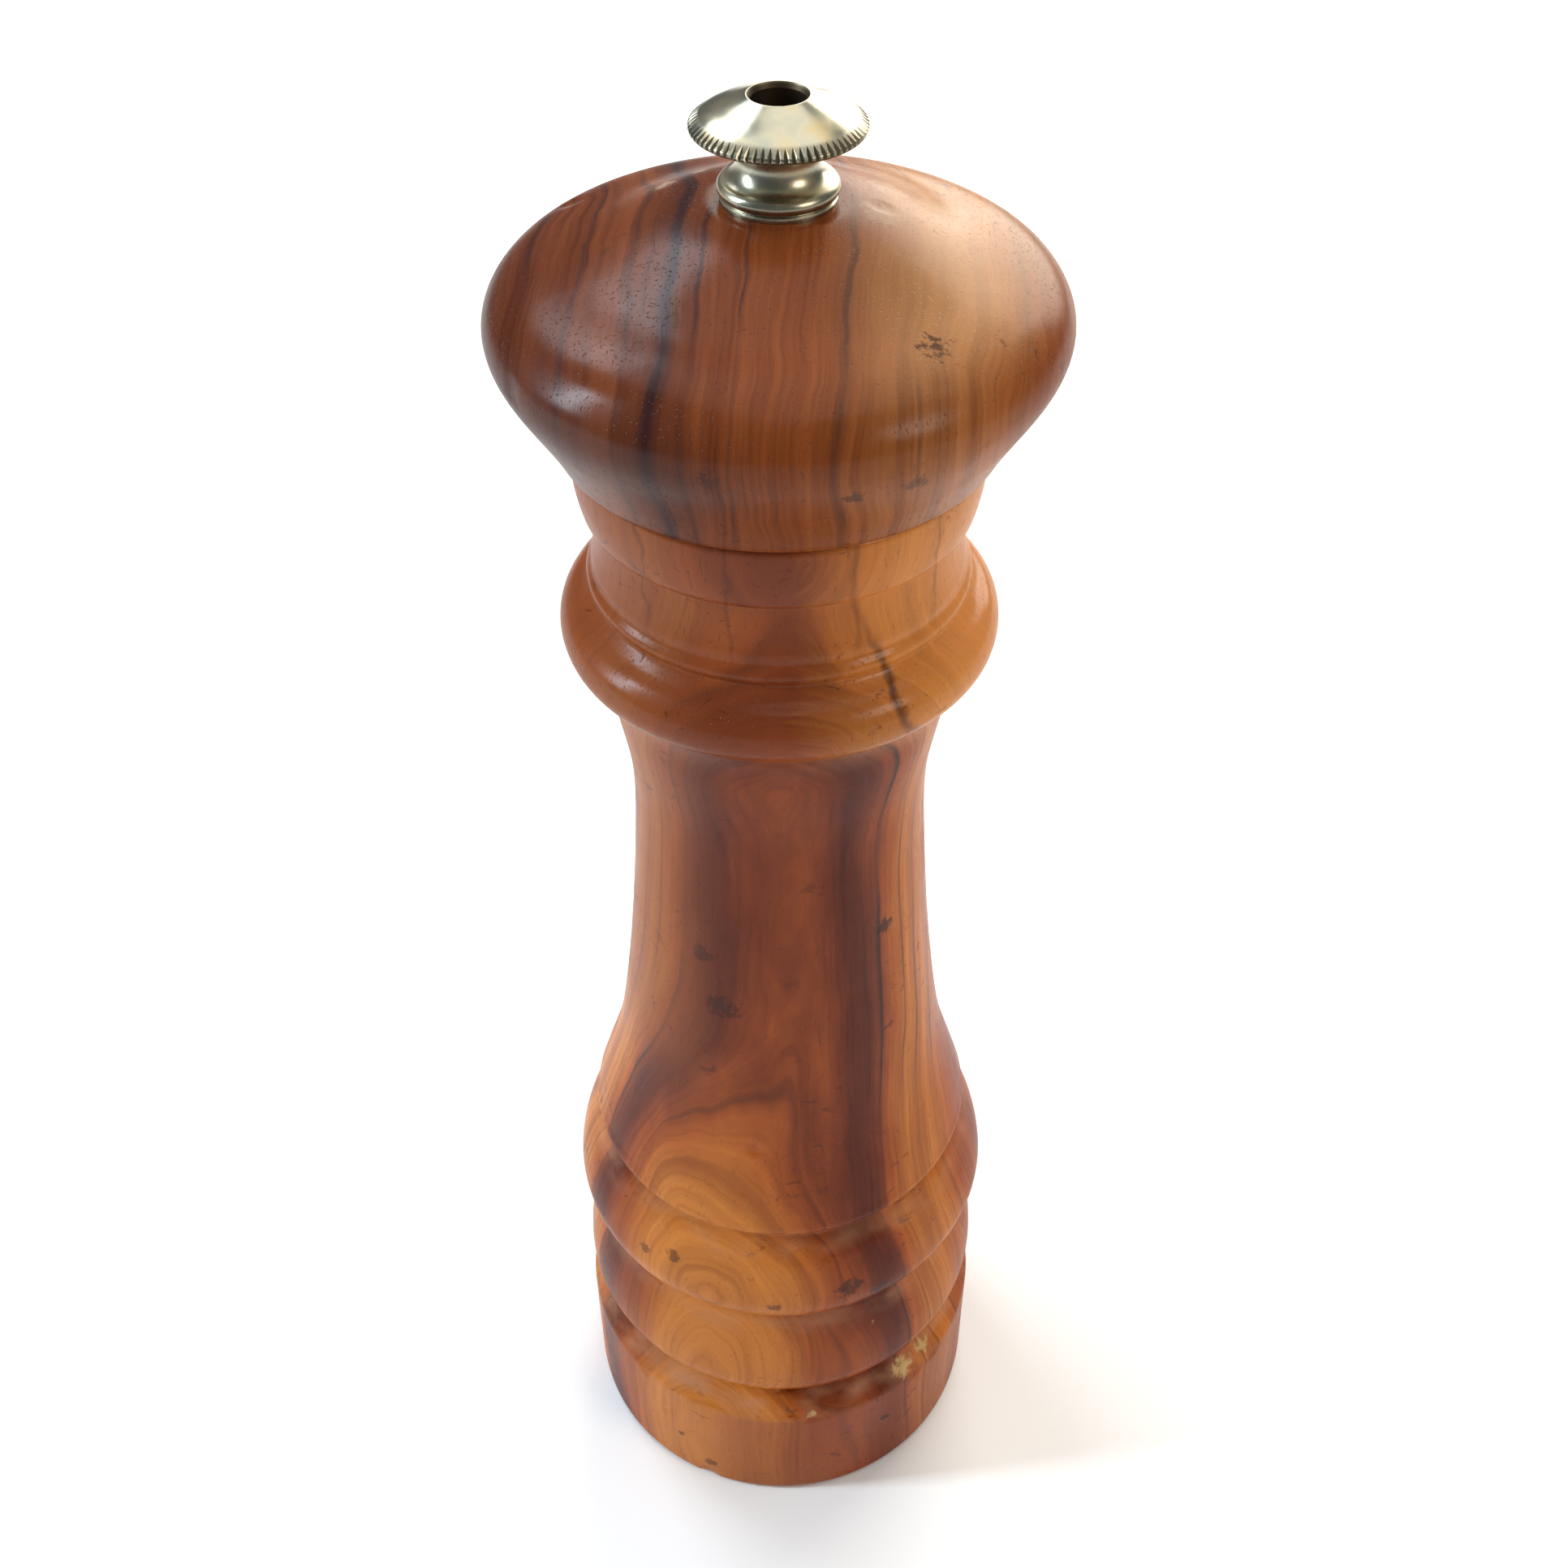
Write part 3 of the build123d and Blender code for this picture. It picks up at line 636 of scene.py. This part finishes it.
def shaft_heights():
    """Heights of the shaft's rings, close together on the thread and doubled at each step."""
    low, high = SHAFT_LOW.z, SHAFT_HIGH.z
    tiny = 0.01 * MM
    heights = [low, low + PIVOT_CHAMFER, SQUARE_FROM - tiny, SQUARE_FROM + tiny]
    heights += list(np.linspace(SQUARE_FROM + MM, SQUARE_TO - tiny, 40))
    heights += [SQUARE_TO + tiny]
    heights += list(np.arange(THREAD_RINGS_FROM, high, THREAD_PITCH / 8))
    return heights + [high]


def shaft_point(z, turn):
    radius = shaft_radius(z, turn)
    return (radius * math.cos(turn), radius * math.sin(turn), z)


def make_shaft():
    """One bar: the lower pivot, the square length and the threaded stud, closed at both ends."""
    turns = [2 * math.pi * k / SHAFT_COLUMNS for k in range(SHAFT_COLUMNS)]
    rings = [[shaft_point(z, turn) for turn in turns] for z in shaft_heights()]
    shaft = grid_mesh("square_shaft", np.array(rings), closed_rows=False)
    work = bmesh.new()
    work.from_mesh(shaft.data)
    bmesh.ops.holes_fill(work, edges=[e for e in work.edges if e.is_boundary])
    bmesh.ops.recalc_face_normals(work, faces=work.faces)
    for face in work.faces:
        face.smooth = True
    for edge in work.edges:
        if len(edge.link_faces) == 2 and edge.calc_face_angle() > math.radians(40):
            edge.smooth = False
    work.to_mesh(shaft.data)
    work.free()
    steel = metal_material("drawn_steel_bar", srgb(196, 194, 190), srgb(120, 112, 100), 0.26, (2, 2, 0.1))
    return dress(shaft, "spindle", "shaft_steel", steel, "shaft")


# ---- CAD pieces with a better material -------------------------------------------------------
def make_metal_pieces():
    pressed = metal_material("zinc_plated_steel", srgb(188, 186, 178), srgb(128, 120, 104), 0.30)
    burr = metal_material("hardened_burr_steel", srgb(120, 118, 116), srgb(78, 66, 54), 0.42, (3, 3, 1), 0.50)
    screws = metal_material("plated_screws", srgb(196, 190, 172), srgb(120, 104, 80), 0.30)
    wire = metal_material("spring_wire", srgb(170, 170, 172), srgb(110, 104, 98), 0.28)
    brass = metal_material("turned_brass", srgb(206, 166, 96), srgb(140, 98, 50), 0.26, (1, 1, 4))
    washer = metal_material("nickel_washer", srgb(186, 180, 158), srgb(120, 104, 78), 0.28, (1, 1, 3))
    wanted = {
        "knob": knob_material(), "knob_washer": washer, "drive_plate": pressed, "drive_plate_screws": screws,
        "rotor_burr": burr, "stator_burr": burr, "rotor_washer": pressed, "rotor_nut": pressed,
        "guide_bridge": pressed, "thrust_washer": pressed, "spring_seat": pressed, "spring": wire,
        "retaining_plate": pressed, "plate_screws": screws, "lower_bush": brass,
    }
    for name, material in wanted.items():
        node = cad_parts[name]
        for place in node.material_slots:
            place.link = "OBJECT"
            place.material = material


# ---- floor, light and camera -----------------------------------------------------------------
FLOOR_SIZE = 6.0
FLOOR_GAP = 0.0002            # the floor lies this far under the foot
WORLD_STRENGTH = 0.18


def make_floor():
    bpy.ops.mesh.primitive_plane_add(size=FLOOR_SIZE, location=(0, 0, -FLOOR_GAP))
    floor = bpy.context.object
    floor.name = "pale_floor"
    g = Graph("pale_floor")
    patches = g.noise(g.place, 0.01, 2.0)
    white = g.ramp(patches, [(0.0, srgb(244, 244, 244)), (1.0, srgb(250, 250, 250))])
    g.set(Base_Color=white, Roughness=0.9)
    floor.data.materials.append(g.material)


def area_light(name, place, target, width, height, power, colour):
    """A rectangular light of power watts, turned to face target."""
    data = bpy.data.lights.new(name, "AREA")
    data.shape = "RECTANGLE"
    data.size, data.size_y = width, height
    data.energy = power
    data.color = colour
    light = bpy.data.objects.new(name, data)
    bpy.context.scene.collection.objects.link(light)
    light.location = place
    light.rotation_euler = (Vector(target) - Vector(place)).to_track_quat("-Z", "Y").to_euler()


def make_light():
    world = bpy.data.worlds.new("soft_white_room")
    bpy.context.scene.world = world
    world.use_nodes = True
    background = world.node_tree.nodes["Background"]
    background.inputs["Color"].default_value = (1.0, 0.98, 0.95, 1.0)
    background.inputs["Strength"].default_value = WORLD_STRENGTH
    middle = (0, 0, 0.10)
    area_light("left_window", (-0.80, -0.08, 0.50), (0, 0, 0.13), 0.10, 0.50, 6.5, (0.74, 0.88, 1.0))
    area_light("back_right_panel", (0.40, 0.95, 0.52), middle, 1.0, 0.7, 14.0, (1.0, 0.96, 0.86))
    area_light("back_left_sky", (-0.50, 0.55, 0.95), middle, 0.4, 0.4, 5.0, (0.84, 0.92, 1.0))
    area_light("overhead", (0.15, 0.10, 1.3), middle, 1.2, 1.2, 6.0, (1.0, 0.98, 0.95))
    area_light("right_fill", (0.85, -0.60, 0.68), middle, 0.4, 0.4, 4.0, (1.0, 0.92, 0.80))


LENS_MM = 41.9
CAMERA_BACK = 0.1606
CAMERA_HEIGHT = 0.2668
CAMERA_TILT = math.radians(90 - 42.64)
CAMERA_ASIDE = 0.0005


def make_camera():
    data = bpy.data.cameras.new("photo_camera")
    data.sensor_width = 36.0
    data.lens = LENS_MM
    data.clip_start = 0.01
    camera = bpy.data.objects.new("photo_camera", data)
    bpy.context.scene.collection.objects.link(camera)
    camera.location = (CAMERA_ASIDE, -CAMERA_BACK, CAMERA_HEIGHT)
    camera.rotation_euler = (CAMERA_TILT, 0, 0)
    bpy.context.scene.camera = camera
    bpy.context.scene.view_settings.view_transform = "Standard"


make_camera()
make_light()
make_floor()
make_wooden_pieces()
make_shaft()
make_metal_pieces()
